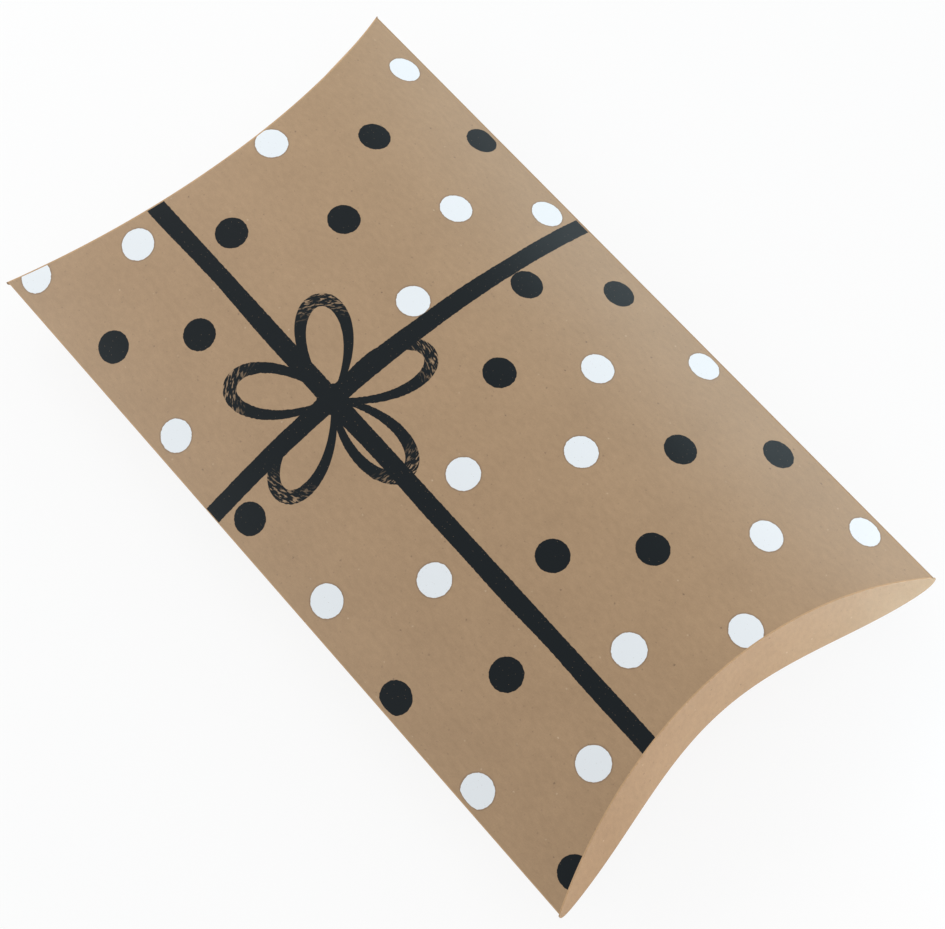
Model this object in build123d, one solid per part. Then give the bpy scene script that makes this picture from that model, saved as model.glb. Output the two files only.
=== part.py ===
from build123d import *
import math
import os

# A pillow box of kraft board, closed: one sheet folded into a sleeve, glued along one
# long edge, and shut at each end by two flaps that swing about curved creases.
# It lies on the crest of its bottom panel, with the origin under its middle.
# X runs across the box, Y along it towards the far end, and Z up. Sizes are in mm.

# Sleeve
WIDTH = 146.8  # from fold line to fold line
LENGTH = 250.0  # from tip to tip
CROWN = 18.6  # rise of each panel's arc from the middle plane
CREASE_DEPTH = 18.9  # from the tips in to the crest of an end crease
BOARD = 0.5  # thickness of the board

# Long folds and the glued seam
FOLD_WIDTH = 2.5  # crushed strip on each side of a fold line
FOLD_RADIUS = 0.4  # outer rounding of a fold
SEAM_SETBACK = 0.45  # from the fold line to the bottom panel's cut edge
TAB_WIDTH = 14.0  # glue tab, from the fold line to its free edge
TAB_SETBACK = 8.0  # from the tips to the tab's corners beside the fold
TAB_TAPER = 6.5  # how much shorter the tab's free edge is at each end
GLUE_GAP = 0.14  # between the glue tab and the bottom panel
GLUE_FILM = 0.1  # thickness of the dried glue in that gap
GLUE_MARGIN = 2.0  # bare rim of the tab around the glue

# End flaps: the inner ones stand up from the bottom panel and fold in first, the outer
# ones hang from the top panel in front of them and spring outwards a little
INNER_FLAP_LENGTH = 21.0  # from the crest of the crease to the free edge
INNER_FLAP_SETBACK = 3.0  # from the tips in to the ends of its free edge
OUTER_FLAP_LENGTH = 23.0
OUTER_FLAP_TAPER = 0.51  # power of the curve that draws the flap in towards its tips
OUTER_FLAP_SPRING = 15.5  # how far it springs out from the inner flap, in degrees
OUTER_FLAP_FLARE = 8.2  # greatest further lean, between its middle and tips, in degrees
CREASE_GAP = 0.3  # room between a panel and its flap, so that the flap can turn
SLIT = 0.3  # room between the strips that a bending flap is divided into

# Towards their ends the flaps are cut free of the crease by a little more, so that they
# pass the panel's edge as they swing: (share of the half width, distance from the crease)
OUTER_ROOT_SHARES = ((0.40, 0.0), (0.55, 1.0), (0.70, 1.4), (1.0, 2.8))
INNER_ROOT_SHARES = ((0.14, 0.0), (0.42, 1.3), (0.70, 4.0))

# Each flap bends along straight lines across it, at these shares of the half width. The
# inner flaps are narrower and have no tips.
STRIP_SHARES = {
    "left_tip": (-0.975, -0.70),
    "left_side": (-0.70, -0.42),
    "left_shoulder": (-0.42, -0.14),
    "centre": (-0.14, 0.14),
    "right_shoulder": (0.14, 0.42),
    "right_side": (0.42, 0.70),
    "right_tip": (0.70, 0.975),
}

HALF_WIDTH = WIDTH / 2
RADIUS = (HALF_WIDTH**2 + CROWN**2) / (2 * CROWN)
CENTRE_DROP = RADIUS - CROWN
PANEL_HALF = HALF_WIDTH - FOLD_WIDTH
TAB_INSET = BOARD + GLUE_GAP

# An end crease is the curve where a slanting plane meets a panel's arc
SLOPE = CREASE_DEPTH / CROWN
STRETCH = math.hypot(1, SLOPE)
UP_THE_PLANE = Vector(0, SLOPE, 1) * (1 / STRETCH)
INTO_THE_BOX = Vector(0, 1, -SLOPE) * (1 / STRETCH)
CREASE_PLANE = Plane(
    origin=(0, -LENGTH / 2, 0), x_dir=(1, 0, 0), z_dir=INTO_THE_BOX * -1
)
INNER_FLAP_LEAN = 2 * math.degrees(math.atan(SLOPE)) - 90  # outwards, once folded up
OUTER_FLAP_LEAN = INNER_FLAP_LEAN + OUTER_FLAP_SPRING


def rise(x):
    """Height of a panel's outer face above the middle plane."""
    return math.sqrt(RADIUS**2 - x**2) - CENTRE_DROP


def disc(inset):
    """Disc whose upper arc is the top panel's outer face, moved in by inset."""
    return Pos(0, -CENTRE_DROP) * Circle(RADIUS - inset)


def window(x_low, x_high):
    """Upper half of the section between two places across the box."""
    middle = (x_low + x_high) / 2
    return Pos(middle, RADIUS / 2) * Rectangle(x_high - x_low, RADIUS)


def arc_section(inset, thickness, x_low, x_high):
    """Section of a curved sheet under the top panel's outer face."""
    return (disc(inset) - disc(inset + thickness)) & window(x_low, x_high)


def lens(lower_inset, upper_inset):
    """Space between both panels' arcs, each moved in by its inset."""
    return disc(upper_inset) & mirror(disc(lower_inset), about=Plane.XZ)


def fold_section(lower_inset):
    """Section of the bent board along both fold lines."""
    outside = lens(lower_inset, 0)
    rounded = fillet(outside.vertices(), FOLD_RADIUS)
    return rounded - lens(lower_inset + BOARD, BOARD)


def along(section, length):
    """Extrudes a section along the box, half to each side of its middle."""
    return extrude(Plane.XZ * section, amount=length / 2, both=True)


def beyond_crease(offset):
    """Everything past the near crease of the top panel, moved inwards by offset."""
    centre_height = offset - STRETCH * CENTRE_DROP
    outline = Pos(0, centre_height) * Ellipse(RADIUS, STRETCH * RADIUS)
    prism = extrude(CREASE_PLANE * outline, amount=2 * CREASE_DEPTH, both=True)
    upper_half = Pos(0, 0, CROWN) * Box(WIDTH, 2 * LENGTH, 2 * CROWN)
    return prism & upper_half


def trim_ends(sheet):
    """Cuts a sheet of the sleeve along the creases at both ends."""
    near_top = beyond_crease(CREASE_GAP / 2)
    far_top = mirror(near_top, about=Plane.XZ)
    for cutter in (near_top, far_top):
        sheet = sheet - cutter - mirror(cutter, about=Plane.XY)
    return sheet


def top_panel():
    return trim_ends(along(arc_section(0, BOARD, -PANEL_HALF, PANEL_HALF), LENGTH))


def bottom_panel():
    """Runs out to a cut edge at the seam, over the glue tab."""
    section = arc_section(0, BOARD, SEAM_SETBACK - HALF_WIDTH, PANEL_HALF)
    return trim_ends(mirror(along(section, LENGTH), about=Plane.XY))


def side_fold():
    strip = along(fold_section(0), LENGTH)
    keep = Pos(HALF_WIDTH, 0, 0) * Box(2 * FOLD_WIDTH, LENGTH, 2 * CROWN)
    return trim_ends(strip & keep)


def seam_fold():
    """Turns the top panel in behind the bottom panel's cut edge."""
    strip = along(fold_section(TAB_INSET), LENGTH)
    keep = Pos(-HALF_WIDTH, 0, 0) * Box(2 * FOLD_WIDTH, LENGTH, 2 * CROWN)
    return trim_ends(strip & keep)


def tab_outline(margin):
    """Plan of the glue tab, drawn in from its four edges by margin."""
    fold_x = -PANEL_HALF + margin
    free_x = TAB_WIDTH - HALF_WIDTH - margin
    fold_y = LENGTH / 2 - TAB_SETBACK - margin
    free_y = fold_y - TAB_TAPER
    corners = [(fold_x, -fold_y), (free_x, -free_y), (free_x, free_y), (fold_x, fold_y)]
    return make_face(Polyline(*corners, close=True))


def tab_sheet(inset, thickness, margin):
    """Curved sheet inside the bottom panel, with the tab's plan."""
    section = arc_section(inset, thickness, -HALF_WIDTH, 0)
    sheet = mirror(along(section, LENGTH), about=Plane.XY)
    return sheet & extrude(tab_outline(margin), amount=CROWN, both=True)


def glue_tab():
    return tab_sheet(TAB_INSET, BOARD, 0)


def glue_line():
    return tab_sheet(BOARD + (GLUE_GAP - GLUE_FILM) / 2, GLUE_FILM, GLUE_MARGIN)


def strip_limits(place):
    """Where a strip starts and ends across the box, with half a slit left at each side."""
    low, high = STRIP_SHARES[place]
    return low * HALF_WIDTH + SLIT / 2, high * HALF_WIDTH - SLIT / 2


def outer_relief(share):
    """How far below the crease the outer flap starts."""
    stops = zip(OUTER_ROOT_SHARES, OUTER_ROOT_SHARES[1:])
    for (low, start), (high, end) in stops:
        if low <= share <= high:
            return start + (end - start) * (share - low) / (high - low)
    return 0


def outer_section(x):
    """Slice of the near outer flap, from its mitred root down to its free edge."""
    share = abs(x) / HALF_WIDTH
    length = OUTER_FLAP_LENGTH * (1 - share**2) ** OUTER_FLAP_TAPER
    bow = 4 * share**2 * (1 - share**2)
    tilt = math.radians(OUTER_FLAP_LEAN + OUTER_FLAP_FLARE * bow)
    down = Vector(0, -math.sin(tilt), -math.cos(tilt))
    inward = Vector(0, math.cos(tilt), -math.sin(tilt))
    crease = Vector(x, SLOPE * rise(x) - LENGTH / 2, rise(x))
    root = crease - UP_THE_PLANE * (CREASE_GAP / 2)
    mitre = INTO_THE_BOX * (BOARD / INTO_THE_BOX.dot(inward))
    edge = root + down * length
    root = root + down * outer_relief(share)
    return make_face(Polyline(root, edge, edge + inward * BOARD, root + mitre, close=True))


def outer_strip(place):
    """Strip of the near outer flap, twisted a little as the flap flares."""
    start, end = strip_limits(place)
    stations = (start, (start + end) / 2, end)
    return loft([outer_section(x) for x in stations])


def flat_flap_plan():
    """Plan of an inner flap that hasn't been folded, out to its curved free edge."""
    inside_y = CREASE_DEPTH - LENGTH / 2
    crest = (0, inside_y - INNER_FLAP_LENGTH)
    root = []
    for share, relief in INNER_ROOT_SHARES:
        x = share * HALF_WIDTH
        root.append((x, SLOPE * rise(x) - LENGTH / 2 - relief))
    root.insert(0, (root[0][0], inside_y))
    right_end = (root[-1][0], INNER_FLAP_SETBACK - LENGTH / 2)
    left_end = (-right_end[0], right_end[1])
    other_root = [(-x, y) for x, y in root]
    free_edge = ThreePointArc(left_end, crest, right_end)
    return make_face(free_edge + Polyline(right_end, *root[::-1], *other_root, left_end))


def inner_flap():
    """The panel's own curve past its crease, mirrored in the crease plane by folding.

    Mirroring also swaps the sides of the board, so it starts on top of the panel's face.
    """
    sheet = along(arc_section(-BOARD, BOARD, -HALF_WIDTH, HALF_WIDTH), 2 * LENGTH)
    unfolded = sheet & extrude(flat_flap_plan(), amount=2 * CROWN)
    unfolded = unfolded & beyond_crease(-CREASE_GAP / 2)
    return mirror(mirror(unfolded, about=CREASE_PLANE), about=Plane.XY)


def slice_across(flap, place):
    """One strip of a flap, between two bend lines."""
    start, end = strip_limits(place)
    return flap & Pos((start + end) / 2, 0, 0) * Box(end - start, 2 * LENGTH, 2 * CROWN)


def end_flaps():
    """All four flaps, each in strips that the flap's bending turns against each other."""
    strips = {"outer_flap_" + place: outer_strip(place) for place in STRIP_SHARES}
    whole_inner = inner_flap()
    for place in STRIP_SHARES:
        if not place.endswith("tip"):
            strips["inner_flap_" + place] = slice_across(whole_inner, place)
    near = {"near_" + name: strip for name, strip in strips.items()}
    far = {"far_" + name: mirror(strip, about=Plane.XZ) for name, strip in strips.items()}
    return near | far


def sleeve():
    """Drawn with its seam on the left and then mirrored, which puts the seam on the right."""
    drawn = {
        "top_panel": top_panel(),
        "bottom_panel": bottom_panel(),
        "side_fold": side_fold(),
        "seam_fold": seam_fold(),
        "glue_tab": glue_tab(),
        "glue_line": glue_line(),
    }
    return {name: mirror(piece, about=Plane.YZ) for name, piece in drawn.items()}


os.makedirs("parts", exist_ok=True)
for name, piece in {**sleeve(), **end_flaps()}.items():
    export_step(Pos(0, 0, CROWN) * piece, "parts/" + name + ".step")
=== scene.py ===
"""Looks of the pillow box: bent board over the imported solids, its print, a studio and a camera."""

import math

import bmesh
import bpy
from mathutils import Matrix, Vector


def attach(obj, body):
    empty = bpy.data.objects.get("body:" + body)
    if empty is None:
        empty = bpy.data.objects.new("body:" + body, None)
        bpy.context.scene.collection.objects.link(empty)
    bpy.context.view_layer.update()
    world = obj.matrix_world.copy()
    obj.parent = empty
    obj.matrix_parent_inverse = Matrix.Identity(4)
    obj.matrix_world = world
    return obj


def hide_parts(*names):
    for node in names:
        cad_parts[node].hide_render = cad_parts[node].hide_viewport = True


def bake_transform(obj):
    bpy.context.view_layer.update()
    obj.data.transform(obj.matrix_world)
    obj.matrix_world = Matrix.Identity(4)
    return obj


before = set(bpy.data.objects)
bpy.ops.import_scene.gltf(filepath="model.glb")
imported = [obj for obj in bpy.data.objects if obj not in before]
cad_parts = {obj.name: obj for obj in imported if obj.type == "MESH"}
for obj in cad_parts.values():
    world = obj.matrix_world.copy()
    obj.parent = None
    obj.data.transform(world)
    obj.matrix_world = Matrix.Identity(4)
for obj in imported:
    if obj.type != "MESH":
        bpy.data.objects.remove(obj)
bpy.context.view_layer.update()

# Sizes of the box, in metres, the same as the solids have
MM = 0.001
WIDTH = 146.8 * MM
LENGTH = 250.0 * MM
CROWN = 18.6 * MM
CREASE_DEPTH = 18.9 * MM
BOARD = 0.5 * MM
FOLD_RADIUS = 0.4 * MM
FOLD_WIDTH = 2.5 * MM  # from a fold line to where the glue tab begins
SEAM_SETBACK = 0.45 * MM  # from the fold line to the bottom panel's cut edge
TAB_INSET = 0.64 * MM  # of the tab from the bottom panel's outer face
CREASE_GAP = 0.3 * MM
OUTER_FLAP_LENGTH = 23.0 * MM
OUTER_FLAP_TAPER = 0.51  # power of the curve that draws the flap in towards its tips
OUTER_FLAP_SPRING = math.radians(15.5)  # how far it springs out from the inner flap
OUTER_FLAP_FLARE = math.radians(8.2)  # greatest further lean, between its middle and tips
INNER_FLAP_LENGTH = 21.0 * MM
INNER_FLAP_SETBACK = 3.0 * MM  # from the tips in to the ends of its free edge
INNER_FLAP_SHARE = 0.70  # of the half width

# Shape of the board that only shows from near by
CREASE_DIP = 0.10 * MM  # how far the panel sinks beside its scored creases
DIP_REACH = 2.2 * MM
DIP_FADE = 4.0 * MM  # a panel that is lower than this sinks less
NOSE_TOP_SHARE = 0.999  # of a panel's height, where the rounded crease is highest
NOSE_LEG_SHARE = 0.8  # of a panel's height, the most that its rounded crease turns down
FLAP_REACH = 0.999  # share of the half width that a flap's board fills
SHARP_ANGLE = math.radians(38)  # above this, an edge between faces is crisp

# How finely the board is divided
ARC_STEPS = 96  # across a panel
FOLD_STEPS = 8  # round a long fold
NOSE_STEPS = 4  # round a crease
ROWS_FROM_CREASE = [
    row * MM for row in (0.2, 0.6, 1.2, 2.0, 3.2, 5.0, 8.0, 14.0, 24.0, 40.0, 60.0, 80.0)
]
SEAM_STEPS = (1.2 * MM, 1.8 * MM, FOLD_WIDTH)  # from the fold line in towards the tab
FLAP_ROWS = {"outer": 14, "inner": 10}
FLAP_PITCH = 1.2 * MM  # about how far apart the places across a flap are
FLAP_LEAST_STEPS = 8
LEAST_LENGTH = 0.1 * MM  # of an inner flap, where its free edge meets the crease

# Bend lines of the flaps, and how far their curve spreads to each side of them
BEND_SHARES = (0.14, 0.42, 0.70)
BEND_SPREAD = 0.14
STRIPS = ("centre", "shoulder", "side", "tip")
STRIPS_ACROSS = {"outer": 4, "inner": 3}

HALF_WIDTH = WIDTH / 2
HALF_LENGTH = LENGTH / 2
RADIUS = (HALF_WIDTH**2 + CROWN**2) / (2 * CROWN)
CENTRE_DROP = RADIUS - CROWN
SLOPE = CREASE_DEPTH / CROWN
STRETCH = math.hypot(1, SLOPE)
OUTER_FLAP_LEAN = 2 * math.atan(SLOPE) - math.pi / 2 + OUTER_FLAP_SPRING
UP_THE_PLANE = Vector((0, SLOPE, 1)) / STRETCH
INTO_THE_BOX = Vector((0, 1, -SLOPE)) / STRETCH
EDGE_LEAN = math.asin(HALF_WIDTH / RADIUS)  # of a panel at its fold lines
GAP = CREASE_GAP / 2
CREASE_LEG = GAP * STRETCH / SLOPE

# Places on the flat sheet, in metres, that the grain and the print are worked out from
BOTTOM_ON_SHEET = 0.4  # middle of the bottom panel, with the top panel's middle at 0
TOP_REACH_ON_SHEET = HALF_WIDTH * 1.05  # from its middle to past the top panel's edges
INSIDE_ON_SHEET = 0.8  # the inside's grain is taken from so far along
FOLD_PITCH = 0.1 * MM  # from one point round a fold to the next
TAB_ON_SHEET = 3.0 * MM  # past the fold


class Wire:
    """A number in a shader. Python's operators on it add Math nodes."""

    def __init__(self, finish, socket):
        self.finish = finish
        self.socket = socket

    def maths(self, operation, *others):
        return self.finish.add("ShaderNodeMath", {"operation": operation}, [self, *others])

    def __add__(self, other):
        return self.maths("ADD", other)

    def __sub__(self, other):
        return self.maths("SUBTRACT", other)

    def __rsub__(self, other):
        return self.finish.add("ShaderNodeMath", {"operation": "SUBTRACT"}, [other, self])

    def __mul__(self, other):
        return self.maths("MULTIPLY", other)

    def __truediv__(self, other):
        return self.maths("DIVIDE", other)

    def __rtruediv__(self, other):
        return self.finish.add("ShaderNodeMath", {"operation": "DIVIDE"}, [other, self])

    def __pow__(self, other):
        return self.maths("POWER", other)

    def __abs__(self):
        return self.maths("ABSOLUTE")

    def __lt__(self, other):
        return self.maths("LESS_THAN", other)

    def __gt__(self, other):
        return self.maths("GREATER_THAN", other)

    __radd__ = __add__
    __rmul__ = __mul__


class Finish:
    """A material whose nodes are added one expression at a time."""

    def __init__(self, name):
        self.material = bpy.data.materials.new(name)
        self.material.use_nodes = True
        self.tree = self.material.node_tree
        self.shader = self.tree.nodes["Principled BSDF"]

    def add(self, kind, settings=None, inputs=(), output=0):
        node = self.tree.nodes.new(kind)
        for key, value in (settings or {}).items():
            setattr(node, key, value)
        pairs = inputs.items() if isinstance(inputs, dict) else enumerate(inputs)
        for key, value in pairs:
            if isinstance(value, Wire):
                self.tree.links.new(value.socket, node.inputs[key])
            else:
                node.inputs[key].default_value = value
        return Wire(self, node.outputs[output])

    def set(self, name, value):
        socket = self.shader.inputs[name]
        if isinstance(value, Wire):
            self.tree.links.new(value.socket, socket)
        else:
            socket.default_value = value

    def own(self):
        """The material's own shader, as something to mix."""
        return Wire(self, self.shader.outputs[0])

    def surface(self, shader):
        output = self.tree.nodes["Material Output"]
        self.tree.links.new(shader.socket, output.inputs["Surface"])

    def mix(self, share, first, second):
        """Colour that goes from first to second as share goes from 0 to 1."""
        settings = {"data_type": "RGBA", "clamp_factor": True}
        return self.add("ShaderNodeMix", settings, {0: share, 6: first, 7: second}, 2)

    def tint(self, colour, amount):
        """Colour or vector times a factor."""
        settings = {"operation": "SCALE"}
        return self.add("ShaderNodeVectorMath", settings, {0: colour, "Scale": amount})

    def ramp(self, value, low, high):
        """0 up to low, 1 from high on, and straight between them."""
        names = ("Value", "From Min", "From Max")
        return self.add("ShaderNodeMapRange", {}, dict(zip(names, (value, low, high))))

    def place(self, across, along):
        return self.add("ShaderNodeCombineXYZ", {}, [across, along, 0.0])

    def stretched(self, spot, across, along):
        settings = {"operation": "MULTIPLY"}
        return self.add("ShaderNodeVectorMath", settings, [spot, (across, along, 1.0)])

    def noise(self, spot, scale, detail=2.0, output=0):
        settings = {"noise_dimensions": "2D"}
        inputs = {"Vector": spot, "Scale": scale, "Detail": detail}
        return self.add("ShaderNodeTexNoise", settings, inputs, output)


def sheet_place(finish):
    """Where a point of the board lies on the flat sheet, in metres, as two numbers."""
    spot = finish.add("ShaderNodeUVMap", {"uv_map": "sheet"})
    across = finish.add("ShaderNodeSeparateXYZ", {}, [spot], "X")
    along = finish.add("ShaderNodeSeparateXYZ", {}, [spot], "Y")
    return spot, across, along


# A fleck's ragged outline, all but the last measured in sizes of a fleck
FLECK_WAVES = 1.3
FLECK_WANDER = 2.4
FLECK_CORE = 0.55
FLECK_RIM = 1.2
FLECK_LEAST_WEIGHT = 0.35  # how strong the faintest one is


def flecks(finish, spot, cell, size, share, seed):
    """Small irregular specks: a share of cells of the given width hold one."""
    wander = finish.noise(spot, FLECK_WAVES / size, 1.0, 1)
    centred = finish.add("ShaderNodeVectorMath", {"operation": "SUBTRACT"}, [wander, (0.5,) * 3])
    shift = finish.tint(centred, FLECK_WANDER * size)
    moved = finish.add("ShaderNodeVectorMath", {"operation": "ADD"}, [spot, shift])
    moved = finish.add("ShaderNodeVectorMath", {"operation": "ADD"}, [moved, (seed, seed, 0.0)])
    settings = {"voronoi_dimensions": "2D"}
    inputs = {"Vector": moved, "Scale": 1 / cell}
    distance = finish.add("ShaderNodeTexVoronoi", settings, inputs, "Distance")
    colour = finish.add("ShaderNodeTexVoronoi", settings, inputs, "Color")
    chance = finish.add("ShaderNodeSeparateColor", {}, [colour], "Red")
    weight = finish.add("ShaderNodeSeparateColor", {}, [colour], "Green")
    spread = size / cell
    mark = 1 - finish.ramp(distance, spread * FLECK_CORE, spread * FLECK_RIM)
    strength = FLECK_LEAST_WEIGHT + (1 - FLECK_LEAST_WEIGHT) * weight
    return mark * (chance < share) * strength


KRAFT_LIGHT = (0.438, 0.279, 0.152, 1)
KRAFT_DARK = (0.336, 0.209, 0.109, 1)
FLECK_DARK = (0.150, 0.085, 0.045, 1)
FLECK_LIGHT = (0.640, 0.490, 0.340, 1)
BOARD_ROUGHNESS = 0.52
BOARD_SHEEN = 0.68
INK_BLACK = (0.0050, 0.0085, 0.0110, 1)
INK_WHITE = (0.830, 0.860, 0.890, 1)
INK_ROUGHNESS = 0.42
INK_GLOSS = 0.20
GLUE_CLEAR = (0.66, 0.60, 0.47, 1)
GLUE_WHITE = (0.80, 0.76, 0.66, 1)

# Clouds in the pulp: waves per metre, detail, and how much they change the colour
CLOUDS = (55.0, 3.0, 0.55)

# Finer grain, from pulp to fibres along and across the sheet: waves per metre across and
# along, detail, and how much it changes the colour and the height
GRAINS = (
    ((640.0, 352.0), 3.0, 0.75, 0.5),
    ((2300.0, 2300.0), 2.0, 0.55, 0.6),
    ((5200.0, 700.0), 2.0, 0.45, 0.7),
    ((900.0, 4600.0), 2.0, 0.35, 0.5),
)
MEAN_HEIGHT = 1.1  # about the middle of the grain's height
ROUGHNESS_SPREAD = 0.10  # how much the roughness follows the grain

# Flecks: width of a cell, size of a fleck, share of cells with one, where their pattern
# starts, how strongly they show, and their colour
FLECKS = (
    ((4.2 * MM, 0.22 * MM, 0.55, 0.31), 0.45, FLECK_DARK),
    ((12.5 * MM, 0.30 * MM, 0.42, 0.77), 0.80, FLECK_DARK),
    ((11.0 * MM, 0.26 * MM, 0.40, 1.53), 0.55, FLECK_LIGHT),
)


def kraft(finish, spot, tone):
    """Colour and height of bare kraft board: cloudy pulp, fine fibres and a few specks."""
    waves, detail, tinting = CLOUDS
    share = 0.5 + tinting * (finish.noise(spot, waves, detail) - 0.5)
    height = 0.0
    for (across, along), detail, tinting, relief in GRAINS:
        grain = finish.noise(finish.stretched(spot, across, along), 1.0, detail)
        share = share + tinting * (grain - 0.5)
        height = height + relief * grain
    colour = finish.mix(share, KRAFT_DARK, KRAFT_LIGHT)
    for pattern, strength, fleck in FLECKS:
        colour = finish.mix(strength * flecks(finish, spot, *pattern), colour, fleck)
    return finish.tint(colour, tone), height


def grained(roughness, height):
    """Roughness that follows the grain a little."""
    return roughness + ROUGHNESS_SPREAD * (height - MEAN_HEIGHT)


# Print, in metres on the flat sheet: two plain bands, a looped rosette where they cross,
# and rows of dots
BAND_ACROSS = -27.0 * MM
BAND_ALONG = 25.5 * MM
BAND_WIDTH = 5.6 * MM
BAND_UNEVENNESS = 1.3 * MM  # how much a brushed band swells and thins
BAND_WAVES = 17.0  # per metre
ROSETTE_LOOPS = 5
ROSETTE_TURN = math.radians(15)
ROSETTE_REACH = 31.0 * MM
ROSETTE_STROKE = 3.2 * MM
STROKE_SHARES = (0.45, 0.85)  # of it: at the knot, and what is added on the way outwards
DRY_SHARE = 0.82  # of the reach, from which the brush runs dry
DRY_STRENGTH = 0.85
BRISTLES = (1700.0, 13.0)  # waves per metre outwards, and per radian round the knot
BRISTLE_RANGE = (0.54, 0.66)  # of the noise, from covered to bare
KNOT_RADIUS = 4.6 * MM
DOT_RADIUS = 5.0 * MM
DOT_COLUMNS = 27.0 * MM
DOT_ROWS = 34.0 * MM
DOT_DRIFT = (3.0 * MM, 0.7 * MM)
DOT_SEED = (3.0, 7.0)
DOTS_CLEAR_OF_ROSETTE = 38.0 * MM
RIM_RANGE = (0.15 * MM, 0.55 * MM)  # past a white dot's edge, where its dark rim fades
RIM_STRENGTH = 0.50
INK_EDGE = 0.05 * MM
EDGE_WOBBLE = 0.35 * MM
EDGE_WAVES = 900.0  # per metre
PINHOLES = (1.6 * MM, 0.09 * MM, 0.30, 2.11)  # bare flecks in the ink, as in the table above
PINHOLE_STRENGTH = 0.5
INK_LEVELLING = 0.45  # how much of the board's grain the ink hides
INK_HEIGHT = 0.5  # above the board, in the grain's terms


def length_of(across, along):
    """Length of the line that goes so far across and along the sheet."""
    return (across * across + along * along) ** 0.5


def inked(finish, distance):
    """1 inside an edge, 0 outside it, from the distance beyond the edge."""
    return 1 - finish.ramp(distance, -INK_EDGE, INK_EDGE)


def loops(finish, away, angle):
    """Open ribbon loops round a centre, with a brush that runs dry at their outer ends."""
    phase = (angle + ROSETTE_TURN) * (ROSETTE_LOOPS / 2)
    edge = ROSETTE_REACH * abs(phase.maths("COSINE"))
    steepness = (ROSETTE_REACH * ROSETTE_LOOPS / 2) * abs(phase.maths("SINE"))
    steepness = steepness / away.maths("MAXIMUM", MM)
    length = (1 + steepness * steepness) ** 0.5
    at_knot, added = STROKE_SHARES
    width = ROSETTE_STROKE * (at_knot + added * away / ROSETTE_REACH) / 2
    outwards, around = BRISTLES
    bristles = finish.noise(finish.place(away * outwards, angle * around), 1.0, 2.0)
    dry = finish.ramp(away, ROSETTE_REACH * DRY_SHARE, ROSETTE_REACH)
    dry = dry * finish.ramp(bristles, *BRISTLE_RANGE)
    return inked(finish, abs(away - edge) / length - width) * (1 - DRY_STRENGTH * dry)


def black_drawing(finish, spot, across, along, on_top):
    """The bands, which run all round the box, and the rosette and its knot on the top."""
    left = across - BAND_ACROSS
    up = along - BAND_ALONG
    away = length_of(left, up)
    angle = up.maths("ARCTAN2", left)
    swell = (finish.noise(spot, BAND_WAVES, 1.0) - 0.5) * BAND_UNEVENNESS
    marks = [
        inked(finish, abs(left + swell) - swell - BAND_WIDTH / 2),
        inked(finish, abs(up - swell) - swell - BAND_WIDTH / 2),
        inked(finish, away - swell - KNOT_RADIUS) * on_top,
        loops(finish, away, angle) * on_top,
    ]
    drawing = marks[0]
    for mark in marks[1:]:
        drawing = drawing.maths("MAXIMUM", mark)
    return drawing


def dots(finish, across, along):
    """Distance beyond the nearest dot's edge, and whether that dot is a white one."""
    column = (across / DOT_COLUMNS).maths("FLOOR")
    stagger = 0.5 * column.maths("FLOORED_MODULO", 2.0)
    steps = along / DOT_ROWS + stagger
    row = (steps + 0.5).maths("FLOOR")
    cell = finish.place(column + DOT_SEED[0], row + DOT_SEED[1])
    settings = {"noise_dimensions": "2D"}
    draw = finish.add("ShaderNodeTexWhiteNoise", settings, {"Vector": cell}, "Color")
    drift = [
        finish.add("ShaderNodeSeparateColor", {}, [draw], name) - 0.5 for name in ("Red", "Green")
    ]
    middle_across = (column + 0.5) * DOT_COLUMNS + 2 * DOT_DRIFT[0] * drift[0]
    middle_along = (row - stagger) * DOT_ROWS + 2 * DOT_DRIFT[1] * drift[1]
    away = length_of(across - middle_across, along - middle_along)
    from_rosette = length_of(middle_across - BAND_ACROSS, middle_along - BAND_ALONG)
    absent = from_rosette < DOTS_CLEAR_OF_ROSETTE
    white = (column + row).maths("FLOORED_MODULO", 2.0)
    return away - DOT_RADIUS + absent, white


def printed(finish, spot, across, along, bare):
    """Bare board's colour round the print, the ink's colour, and how much ink covers it."""
    edge_shift = (finish.noise(spot, EDGE_WAVES, 2.0) - 0.5) * EDGE_WOBBLE
    lane = across - BOTTOM_ON_SHEET * (across > BOTTOM_ON_SHEET / 2)
    on_top = abs(across) < TOP_REACH_ON_SHEET
    beyond, white = dots(finish, across, along)
    dot = inked(finish, beyond + edge_shift) * on_top
    rim = (1 - finish.ramp(beyond, *RIM_RANGE)) * white * on_top
    drawing = black_drawing(finish, spot, lane + edge_shift, along + edge_shift, on_top)
    board = finish.mix(RIM_STRENGTH * rim, bare, FLECK_DARK)
    ink = finish.mix(white * (dot > 0.0) * (1 - drawing), INK_BLACK, INK_WHITE)
    cover = 1 - PINHOLE_STRENGTH * flecks(finish, spot, *PINHOLES)
    return board, ink, dot.maths("MAXIMUM", drawing) * cover


PRINTED_DEPTH = 0.020 * MM  # of the grain
PLAIN_DEPTH = 0.022 * MM
RAGGED_DEPTH = 0.030 * MM
BUMP_STRENGTH = 0.55
CUT_ROUGHNESS = 0.72
CUT_WAVES = 5200.0  # per metre, and so are the next two
PIT_WAVES = 1400.0
GLUE_WAVES = 380.0
PIT_SPREAD = 0.15  # how much pits change the roughness
GLUE_ROUGHNESS = 0.42
GLUE_SPREAD = 0.25


def finished(finish, colour, roughness, height, depth):
    """Sets the shader of a board material, and gives its bump."""
    inputs = {"Strength": BUMP_STRENGTH, "Distance": depth, "Height": height}
    bump = finish.add("ShaderNodeBump", {}, inputs)
    finish.set("Base Color", colour)
    finish.set("Roughness", roughness)
    finish.set("Normal", bump)
    return bump


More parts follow.
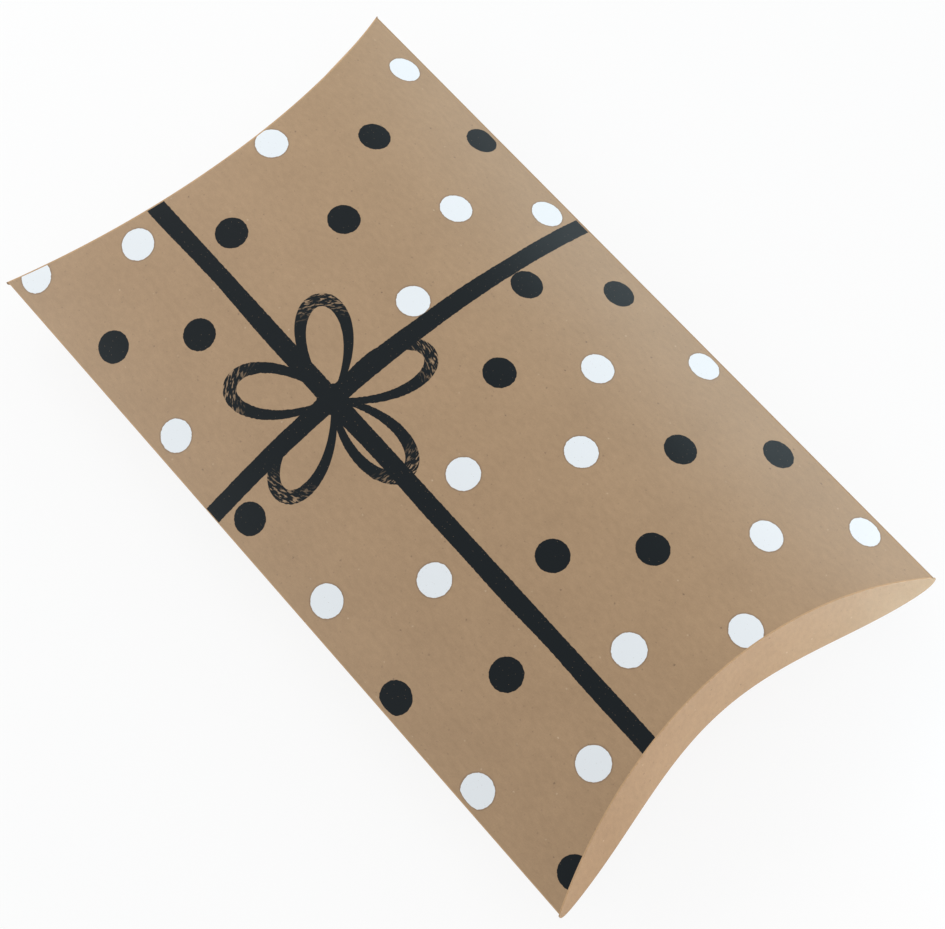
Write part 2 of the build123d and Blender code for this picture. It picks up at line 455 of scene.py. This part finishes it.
def printed_board():
    """Kraft board and the smoother, duller ink over it, which hides some of its grain."""
    finish = Finish("printed_kraft")
    spot, across, along = sheet_place(finish)
    bare, height = kraft(finish, spot, 1.0)
    board, ink, cover = printed(finish, spot, across, along, bare)
    relief = height * (1 - INK_LEVELLING * cover) + INK_HEIGHT * cover
    bump = finished(finish, board, grained(BOARD_ROUGHNESS, height), relief, PRINTED_DEPTH)
    finish.set("Specular IOR Level", BOARD_SHEEN)
    inputs = {
        "Base Color": ink,
        "Roughness": grained(INK_ROUGHNESS, height),
        "Specular IOR Level": INK_GLOSS,
        "Normal": bump,
    }
    coat = finish.add("ShaderNodeBsdfPrincipled", {}, inputs)
    finish.surface(finish.add("ShaderNodeMixShader", {}, [cover, finish.own(), coat]))
    return finish.material


def plain_board(name, tone, roughness):
    finish = Finish(name)
    spot = finish.add("ShaderNodeUVMap", {"uv_map": "sheet"})
    colour, height = kraft(finish, spot, tone)
    finished(finish, colour, grained(roughness, height), height, PLAIN_DEPTH)
    return finish.material


def cut_edge():
    """The board's core, where it was cut: rougher than its faces, and pitted."""
    finish = Finish("cut_edge")
    spot = finish.add("ShaderNodeTexCoord", {}, [], "Object")
    fibres = finish.noise(spot, CUT_WAVES, 3.0)
    pits = finish.noise(spot, PIT_WAVES, 2.0)
    colour = finish.mix(0.2 + 0.6 * fibres, KRAFT_DARK, KRAFT_LIGHT)
    roughness = CUT_ROUGHNESS + PIT_SPREAD * (pits - 0.5)
    finished(finish, colour, roughness, fibres + pits, RAGGED_DEPTH)
    return finish.material


def dried_glue():
    finish = Finish("dried_glue")
    spot = finish.add("ShaderNodeTexCoord", {}, [], "Object")
    runs = finish.noise(spot, GLUE_WAVES, 3.0)
    colour = finish.mix(runs, GLUE_CLEAR, GLUE_WHITE)
    finished(finish, colour, GLUE_ROUGHNESS + GLUE_SPREAD * runs, runs, RAGGED_DEPTH)
    return finish.material


PRINTED = printed_board()
# Unprinted kraft of the flaps and tab. Its tone of 1.12 makes it lighter than the printed board,
# which is painted light standing in for part of the brighter light on the flaps.
PLAIN_PAINTED_LIGHTER = plain_board("plain_kraft", tone=1.12, roughness=0.62)
INSIDE = plain_board("inside_kraft", tone=1.04, roughness=0.68)
# Scored board on the creases and long folds is lighter: partly its crushed, exposed fibres and
# partly a painted highlight along the crease.
SCORED_AND_HIGHLIGHT = plain_board("scored_kraft_and_highlight", tone=1.36, roughness=0.66)
CUT = cut_edge()
GLUE = dried_glue()
BOARD_MATERIALS = (PRINTED, PLAIN_PAINTED_LIGHTER, INSIDE, SCORED_AND_HIGHLIGHT, CUT)
PRINTED_FACE, PLAIN_PAINTED_LIGHTER_FACE, INSIDE_FACE, SCORED_AND_HIGHLIGHT_FACE, CUT_FACE = range(5)


def rise(x):
    """Height of a panel's outer face above the middle plane."""
    return math.sqrt(max(RADIUS**2 - x**2, 0)) - CENTRE_DROP


def outer_tilt(x):
    """How far out an outer flap leans, which grows and shrinks again towards its tips."""
    share = min(1, abs(x) / HALF_WIDTH)
    return OUTER_FLAP_LEAN + OUTER_FLAP_FLARE * 4 * share**2 * (1 - share**2)


def cut_at(x, height, offset):
    """How far along the box from its middle a crease's mitre is, at a height off the middle."""
    level = STRETCH**2 * max(rise(x), 0) + STRETCH * offset - abs(height)
    return HALF_LENGTH - level / SLOPE


def on_sheet(x):
    """Distance across the flat sheet of a point of a panel's arc."""
    return RADIUS * math.asin(max(-1, min(1, x / RADIUS)))


class Solid:
    """A closed mesh that is built from strips of points, each with its place on the sheet."""

    def __init__(self, name):
        self.name = name
        self.mesh = bmesh.new()
        self.sheet = self.mesh.loops.layers.uv.new("sheet")
        self.spots = {}

    def point(self, place, across, along):
        vertex = self.mesh.verts.new(place)
        self.spots[vertex] = (across, along)
        return vertex

    def face(self, corners, material):
        if len(set(corners)) < 3:
            return
        corners = [c for i, c in enumerate(corners) if c is not corners[i - 1]]
        made = self.mesh.faces.new(corners)
        made.material_index = material
        made.smooth = True

    def skin(self, rows, material):
        """Faces between neighbouring rows of points. material is a number or a function."""
        for i, (row, following) in enumerate(zip(rows, rows[1:])):
            for j in range(len(row) - 1):
                corners = [row[j], following[j], following[j + 1], row[j + 1]]
                self.face(corners, material(i, j) if callable(material) else material)

    def board(self, fronts, backs, outside, inside, cut):
        """Closed board between its outer and inner points, with cut edges all round."""
        self.skin(fronts, outside)
        self.skin([points[::-1] for points in backs], inside)
        columns = list(zip(fronts, backs))
        for (front, back), (front_2, back_2) in zip(columns, columns[1:]):
            self.face([front[0], back[0], back_2[0], front_2[0]], cut)
            self.face([front[-1], front_2[-1], back_2[-1], back[-1]], cut)
        for front, back in (columns[0], columns[-1]):
            self.mesh.faces.new(front + back[::-1]).material_index = cut

    def done(self, materials, mirrored=False):
        """The object, mirrored to the far end if asked, with faces outwards and edges crisp."""
        for face in self.mesh.faces:
            for loop in face.loops:
                loop[self.sheet].uv = self.spots[loop.vert]
        if mirrored:
            bmesh.ops.scale(self.mesh, vec=(1, -1, 1), verts=self.mesh.verts)
        bmesh.ops.translate(self.mesh, vec=(0, 0, CROWN), verts=self.mesh.verts)
        bmesh.ops.recalc_face_normals(self.mesh, faces=self.mesh.faces)
        data = bpy.data.meshes.new(self.name)
        self.mesh.to_mesh(data)
        self.mesh.free()
        for material in materials:
            data.materials.append(material)
        data.set_sharp_from_angle(angle=SHARP_ANGLE)
        made = bpy.data.objects.new(self.name, data)
        bpy.context.scene.collection.objects.link(made)
        return made


def spaced(start, end, count):
    return [start + (end - start) * i / count for i in range(count + 1)]


def sheet_mirrored(across):
    """The place across the sheet of the mirror image of a point there."""
    if across > BOTTOM_ON_SHEET / 2:
        return 2 * BOTTOM_ON_SHEET - across
    return -across


def arc_points(x, upper, inset=0.0):
    """Outer and inner point of a panel's board, which may be moved in by inset."""
    lean = math.asin(x / RADIUS)
    side = 1 if upper else -1
    points = []
    for radius in (RADIUS - inset, RADIUS - inset - BOARD):
        height = radius * math.cos(lean) - CENTRE_DROP
        points.append((radius * math.sin(lean), side * height))
    return points


def fold_points(side, lower_inset):
    """Outer points round a long fold, from the upper arc to the lower one."""
    corner_x = HALF_WIDTH - lower_inset / (2 * math.sin(EDGE_LEAN))
    corner_z = lower_inset / (2 * math.cos(EDGE_LEAN))
    centre_x = corner_x - FOLD_RADIUS / math.sin(EDGE_LEAN)
    turn = math.pi / 2 - EDGE_LEAN
    return [
        (side * (centre_x + FOLD_RADIUS * math.cos(a)), corner_z + FOLD_RADIUS * math.sin(a))
        for a in spaced(turn, -turn, FOLD_STEPS)
    ]


def inner_corner(lower_inset):
    """Where the inner faces of both arcs meet at a fold, across and above the middle plane."""
    both = 2 * BOARD + lower_inset
    across = HALF_WIDTH - both / (2 * math.sin(EDGE_LEAN))
    return across, lower_inset / (2 * math.cos(EDGE_LEAN))


def sleeve_section():
    """Stations from the bottom panel's cut edge, round the plain fold and the top panel, to the
    glue tab: (outer point, inner point, place across the sheet, face material). They are worked
    out with the seam on the left and mirrored at the end."""
    arc_half = RADIUS * EDGE_LEAN
    reach = HALF_WIDTH - FOLD_RADIUS / math.tan(EDGE_LEAN) * math.cos(EDGE_LEAN)
    stations = []
    corner_x, _ = inner_corner(0.0)
    for x in spaced(SEAM_SETBACK - HALF_WIDTH, reach, ARC_STEPS)[:-1]:
        outer, inner = arc_points(x, False)
        if inner[1] > 0:
            inner = (math.copysign(corner_x, x), 0.0)
        stations.append((outer, inner, BOTTOM_ON_SHEET + on_sheet(x), PRINTED_FACE))
    # The long fold takes the scored board, whose lighter tone is partly a painted highlight.
    for i, outer in enumerate(reversed(fold_points(1, 0.0))):
        stations.append((outer, (corner_x, 0.0), arc_half + FOLD_PITCH * i, SCORED_AND_HIGHLIGHT_FACE))
    seam_x, seam_z = inner_corner(TAB_INSET)
    for x in spaced(reach, -reach, ARC_STEPS)[1:-1]:
        outer, inner = arc_points(x, True)
        if inner[1] < 0:
            inner = (corner_x, 0.0)
        if x < 0 and inner[1] < seam_z:
            inner = (-seam_x, seam_z)
        stations.append((outer, inner, on_sheet(x), PRINTED_FACE))
    # The long fold takes the scored board, whose lighter tone is partly a painted highlight.
    for i, outer in enumerate(fold_points(-1, TAB_INSET)):
        stations.append((outer, (-seam_x, seam_z), -arc_half - FOLD_PITCH * i, SCORED_AND_HIGHLIGHT_FACE))
    for step in SEAM_STEPS:
        outer, inner = arc_points(step - HALF_WIDTH, False, TAB_INSET)
        if inner[1] > seam_z or inner[0] < -seam_x:
            inner = (-seam_x, seam_z)
        # The tab's faces take the unprinted kraft, whose lighter tone is painted light.
        stations.append((outer, inner, -arc_half - TAB_ON_SHEET, PLAIN_PAINTED_LIGHTER_FACE))
    return [
        ((-a, b), (-c, d), sheet_mirrored(across), kind)
        for (a, b), (c, d), across, kind in stations
    ]


def lowered(outer, away):
    """The outer face beside a crease, which scoring has pulled in a little."""
    x, z = outer
    dip = CREASE_DIP * math.exp(-away / DIP_REACH)
    fade = min(1, rise(x) / DIP_FADE)
    return z - math.copysign(dip * max(fade, 0), z)


def crease_nose(outer):
    """Points round the crease, from inside the flap's root up and back to the panel."""
    x, z = outer
    tilt = outer_tilt(x)
    start = Vector((x, cut_at(x, z, GAP), lowered(outer, 0.0)))
    peak = Vector((x, cut_at(x, z, 0.0), z * NOSE_TOP_SHARE))
    drop = Vector((0, math.sin(tilt), -math.copysign(math.cos(tilt), z)))
    root = peak + drop * min(CREASE_LEG, abs(z) * NOSE_LEG_SHARE)
    return [
        start * (1 - t) ** 2 + peak * (2 * t * (1 - t)) + root * t**2
        for t in spaced(1, 0, NOSE_STEPS)
    ]


def sleeve_board():
    """The folded sheet between the end creases, with a rounded nose along each crease."""
    solid = Solid("sleeve_board")
    fronts, backs, kinds = [], [], []
    corner = None
    for outer, inner, across, kind in sleeve_section():
        mitre = cut_at(*outer, GAP)
        half = crease_nose(outer)
        half += [
            Vector((outer[0], mitre - row, lowered(outer, row)))
            for row in ROWS_FROM_CREASE if row < mitre
        ]
        near, far = [
            [solid.point((p.x, end * p.y, p.z), across, end * p.y) for p in half]
            for end in (-1, 1)
        ]
        if inner != corner:
            inner_end = cut_at(*inner, GAP)
            ys = (-inner_end, -inner_end / 2, inner_end / 2, inner_end)
            back = [solid.point((inner[0], y, inner[1]), across + INSIDE_ON_SHEET, y) for y in ys]
        corner = inner
        fronts.append(near + far[::-1])
        backs.append(back)
        kinds.append(kind)
    last = len(fronts[0]) - 2

    def kind_of(i, j):
        # The crease nose takes the scored board, whose lighter tone is partly a painted highlight.
        if min(j, last - j) <= NOSE_STEPS:
            return SCORED_AND_HIGHLIGHT_FACE
        return min(kinds[i], kinds[i + 1])

    solid.board(fronts, backs, kind_of, INSIDE_FACE, CUT_FACE)
    board = solid.done(BOARD_MATERIALS)
    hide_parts("top_panel", "bottom_panel", "side_fold", "seam_fold")
    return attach(board, "sleeve")


def outer_column(x):
    """Outer and inner points of the near outer flap at one place across, root first."""
    share = abs(x) / HALF_WIDTH
    length = OUTER_FLAP_LENGTH * (1 - share**2) ** OUTER_FLAP_TAPER
    tilt = outer_tilt(x)
    down = Vector((0, -math.sin(tilt), -math.cos(tilt)))
    inward = Vector((0, math.cos(tilt), -math.sin(tilt)))
    crease = Vector((x, SLOPE * rise(x) - HALF_LENGTH, rise(x)))
    root = crease + down * CREASE_LEG
    mitre = crease - UP_THE_PLANE * GAP + INTO_THE_BOX * (BOARD / INTO_THE_BOX.dot(inward))
    edge = crease + down * length
    rows = FLAP_ROWS["outer"]
    outer = [root.lerp(edge, i / rows) for i in range(rows + 1)]
    inner = [mitre.lerp(edge + inward * BOARD, i / rows) for i in range(rows + 1)]
    return outer, inner, length


def mirrored_in_crease(place):
    """A point of the panel's flat continuation, folded up from the bottom panel."""
    middle = Vector((0, -HALF_LENGTH, 0))
    folded = place - INTO_THE_BOX * (2 * (place - middle).dot(INTO_THE_BOX))
    return Vector((folded.x, folded.y, -folded.z))


def inner_column(x):
    """Outer and inner points of the near inner flap at one place across, root first."""
    sagitta = INNER_FLAP_LENGTH - CREASE_DEPTH + INNER_FLAP_SETBACK
    bow = ((INNER_FLAP_SHARE * HALF_WIDTH) ** 2 + sagitta**2) / (2 * sagitta)
    free_end = HALF_LENGTH - INNER_FLAP_SETBACK + math.sqrt(bow**2 - x**2) - (bow - sagitta)
    lean = math.asin(x / RADIUS)
    columns = []
    for thickness in (0.0, BOARD):
        radius = RADIUS + thickness
        px, pz = radius * math.sin(lean), radius * math.cos(lean) - CENTRE_DROP
        root = cut_at(px, pz, -GAP)
        ys = spaced(root, max(free_end, root + LEAST_LENGTH), FLAP_ROWS["inner"])
        columns.append([mirrored_in_crease(Vector((px, -y, pz))) for y in ys])
    return columns[0], columns[1], free_end - (HALF_LENGTH - SLOPE * rise(x))


def flap_part(name, column, shares, mirrored):
    """Closed board between two places across a flap."""
    solid = Solid(name)
    fronts, backs = [], []
    for share in shares:
        x = share * HALF_WIDTH
        outer, inner, length = column(x)
        across = on_sheet(x)
        crease = HALF_LENGTH - SLOPE * rise(x)
        steps = spaced(0, length, len(outer) - 1)
        fronts.append([solid.point(p, across, -crease - s) for p, s in zip(outer, steps)])
        inside = across + INSIDE_ON_SHEET
        backs.append([solid.point(p, inside, -crease - s) for p, s in zip(inner, steps)])
    solid.board(fronts, backs, 0, 1, 2)
    # The flaps take the unprinted kraft, whose lighter tone is painted light.
    return solid.done((PLAIN_PAINTED_LIGHTER, INSIDE, CUT), mirrored)


def flap(end, kind, side, column):
    """Half of a flap: parts between its strips, and an end part that rides."""
    stem = f"{end}_{kind}_flap_"
    sign = -1 if side == "left" else 1
    strips = STRIPS[1:STRIPS_ACROSS[kind]]
    bodies = [stem + "centre"] + [f"{stem}{side}_{strip}" for strip in strips]
    bends = BEND_SHARES[:len(strips)]
    reach = FLAP_REACH if kind == "outer" else INNER_FLAP_SHARE
    edges = [0.0] + [share + BEND_SPREAD for share in bends] + [reach]
    for i, (start, stop) in enumerate(zip(edges, edges[1:])):
        steps = max(FLAP_LEAST_STEPS, round((stop - start) * HALF_WIDTH / FLAP_PITCH))
        closing = 2 if stop == FLAP_REACH else 1  # packs the places closer towards a tip
        shares = [sign * (stop - (stop - start) * t**closing) for t in spaced(1, 0, steps)]
        part = flap_part(f"{stem}board_{side}_{i + 1}", column, shares, end == "far")
        if i < len(bends):
            a, b = bodies[i], bodies[i + 1]
            ends = [(sign * share * HALF_WIDTH, 0, 0) for share in (start, stop)]
            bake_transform(part)
            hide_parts(a, b)
        else:
            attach(part, bodies[-1])
            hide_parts(bodies[-1])


def flaps():
    for end in ("near", "far"):
        for side in ("left", "right"):
            flap(end, "outer", side, outer_column)
            flap(end, "inner", side, inner_column)


def dress_glue():
    """The tab and its glue keep their solids."""
    for node, material in (("glue_tab", INSIDE), ("glue_line", GLUE)):
        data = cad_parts[node].data
        data.materials.clear()
        data.materials.append(material)


# Studio: sizes and places in metres, lamps in watts
FLOOR_SIZE = 6.0
FLOOR_COLOUR = (0.80, 0.80, 0.80, 1)
FLOOR_ROUGHNESS = 0.8
FLOOR_GLOW = 0.88  # share of its look that is plain white
AIR_STRENGTH = 0.57
MIDDLE = (0, 0, CROWN)
NEAR_MOUTH = (0.050, -HALF_LENGTH, CROWN)
NEAR_FLAP_FOOT = (0.062, -0.120, -0.004)
COOL = (0.88, 0.97, 1.0)
COOLER = (0.74, 0.93, 1.0)
WARM = (1.0, 0.85, 0.78)
SKY_BLUE = (0.20, 0.66, 1.0)

# Each lamp's place, what it points at, size, power and colour. The two at the front are weak
# and light the near outer flap, which faces away from the others.
LAMPS = {
    "back_softbox": ((0.1, 1.0, 0.6), MIDDLE, (0.8, 0.6), 5.8, (1, 1, 1)),
    "back_left_softbox": ((-0.8, 0.8, 0.5), MIDDLE, (0.8, 0.6), 4.8, COOL),
    "window_side_softbox": ((1.1, 0.1, 0.4), MIDDLE, (0.8, 0.6), 4.9, COOLER),
    "front_softbox": ((0.10, -0.30, 0.05), NEAR_MOUTH, (0.20, 0.06), 0.27, WARM),
    "front_card": ((0.085, -0.20, 0.012), NEAR_FLAP_FOOT, (0.06, 0.016), 0.05, SKY_BLUE),
}


def studio_floor():
    bpy.ops.mesh.primitive_plane_add(size=FLOOR_SIZE, location=(0, 0, 0))
    floor = bpy.context.active_object
    floor.name = "studio_floor"
    finish = Finish("studio_paper")
    finish.set("Base Color", FLOOR_COLOUR)
    finish.set("Roughness", FLOOR_ROUGHNESS)
    seen = finish.add("ShaderNodeLightPath", {}, [], "Is Camera Ray")
    mirrored = finish.add("ShaderNodeLightPath", {}, [], "Is Glossy Ray")
    glow = finish.add("ShaderNodeEmission", {}, {"Color": (1, 1, 1, 1), "Strength": 1.0})
    bright = FLOOR_GLOW * seen.maths("MAXIMUM", mirrored)
    paper = finish.add("ShaderNodeMixShader", {}, [bright, finish.own(), glow])
    below = finish.add("ShaderNodeNewGeometry", {}, [], "Backfacing")
    clear = finish.add("ShaderNodeBsdfTransparent")
    finish.surface(finish.add("ShaderNodeMixShader", {}, [below, paper, clear]))
    floor.data.materials.append(finish.material)


def softbox(name, place, aim, size, power, colour):
    data = bpy.data.lights.new(name, "AREA")
    data.shape = "RECTANGLE"
    data.size, data.size_y = size
    data.energy = power
    data.color = colour
    lamp = bpy.data.objects.new(name, data)
    lamp.location = place
    lamp.rotation_mode = "QUATERNION"
    lamp.rotation_quaternion = (Vector(aim) - Vector(place)).to_track_quat("-Z", "Y")
    bpy.context.scene.collection.objects.link(lamp)


def studio_light():
    for name, lamp in LAMPS.items():
        softbox(name, *lamp)
    world = bpy.data.worlds.new("studio_air")
    world.use_nodes = True
    air = world.node_tree.nodes["Background"]
    air.inputs["Color"].default_value = (1, 1, 1, 1)
    air.inputs["Strength"].default_value = AIR_STRENGTH
    bpy.context.scene.world = world


# Camera, fitted to the photograph's corners, long edges and creases
CAMERA_PLACE = Vector((-148.5, -156.5, 549.3)) * MM
CAMERA_RIGHT = Vector((0.75262, -0.65803, 0.02340))
CAMERA_DOWN = Vector((-0.60825, -0.70842, -0.35801))
CAMERA_FORWARD = Vector((0.25216, 0.25521, -0.93343))
SENSOR_WIDTH = 36.0  # in mm, as the focal length is
FOCAL_LENGTH = 73.79
NEAREST_SEEN = 10.0 * MM


def camera():
    """Stands where the photograph was taken from: steeply above the near left corner."""
    data = bpy.data.cameras.new("camera")
    data.sensor_width = SENSOR_WIDTH
    data.lens = FOCAL_LENGTH
    data.clip_start = NEAREST_SEEN
    made = bpy.data.objects.new("camera", data)
    turn = Matrix((CAMERA_RIGHT, -CAMERA_DOWN, -CAMERA_FORWARD)).transposed()
    made.matrix_world = Matrix.Translation(CAMERA_PLACE) @ turn.to_4x4()
    bpy.context.scene.collection.objects.link(made)
    bpy.context.scene.camera = made


sleeve_board()
flaps()
dress_glue()
studio_floor()
studio_light()
camera()
bpy.context.scene.view_settings.view_transform = "Standard"
